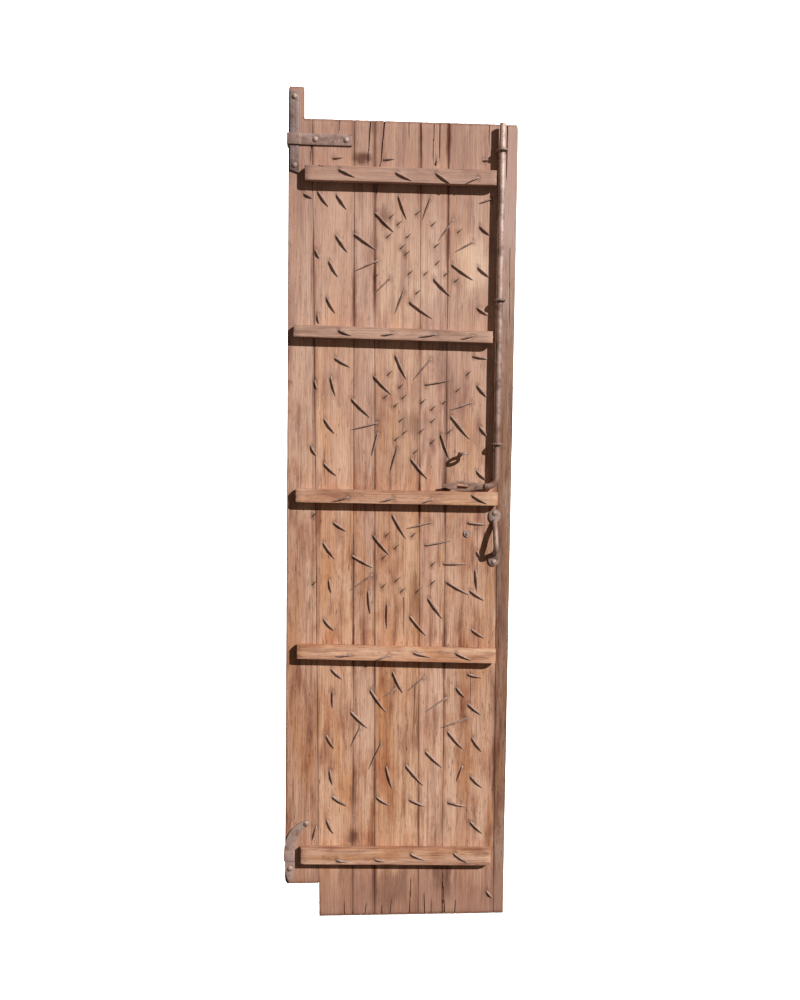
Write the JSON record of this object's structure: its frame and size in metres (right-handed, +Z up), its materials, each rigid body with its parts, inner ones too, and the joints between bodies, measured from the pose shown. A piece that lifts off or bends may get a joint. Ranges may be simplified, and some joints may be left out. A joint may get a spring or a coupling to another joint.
{
  "type": "antique plank door leaf",
  "caption": "Ledged plank door leaf that hangs on its own wooden pivots, with a sliding iron bolt and hasp, a padlock eye, a pull handle and hammered-over forged nails.",
  "frame": {"origin": "under the foot of the pivot stile, on the line that the leaf turns about", "axes": "+Z up along the pivot line, +X across the leaf from the hanging edge to the closing edge, -Y out of the inner, ledged face"},
  "size_m": [0.543, 0.0752, 1.987],
  "materials": {
    "weathered_softwood": "bare weathered softwood, sun-bleached, never painted",
    "forged_iron": "hand-forged wrought iron with a dull brown patina"
  },
  "bodies": {
    "leaf": {"board_2": "weathered_softwood", "board_3": "weathered_softwood", "board_4": "weathered_softwood", "board_5": "weathered_softwood", "board_6": "weathered_softwood", "closing_board": "weathered_softwood", "cross_strap": "forged_iron", "end_nails": "forged_iron", "handle_nails": "forged_iron", "hasp_eye": "forged_iron", "ledge_1": "weathered_softwood", "ledge_1_nails": "forged_iron", "ledge_2": "weathered_softwood", "ledge_2_nails": "forged_iron", "ledge_3": "weathered_softwood", "ledge_3_nails": "forged_iron", "ledge_4": "weathered_softwood", "ledge_4_nails": "forged_iron", "ledge_5": "weathered_softwood", "ledge_5_nails": "forged_iron", "lower_staple": "forged_iron", "middle_staple": "forged_iron", "panel_1_nails": "forged_iron", "panel_2_nails": "forged_iron", "panel_3_nails": "forged_iron", "panel_4_nails": "forged_iron", "pivot_shoe": "forged_iron", "pivot_stile": "weathered_softwood", "post_strap": "forged_iron", "pull_handle": "forged_iron", "shoe_nails": "forged_iron", "small_nails_1": "forged_iron", "small_nails_2": "forged_iron", "small_nails_3": "forged_iron", "split_pin": "forged_iron", "strap_nails": "forged_iron", "upper_staple": "forged_iron"},
    "bolt": {"bolt_rod": "forged_iron"}
  },
  "joints": [
    {"name": "bolt_slide", "type": "slide", "parent": "leaf", "child": "bolt", "axis": [0, 0, 1], "range_m": [0, 0.06]}
  ]
}
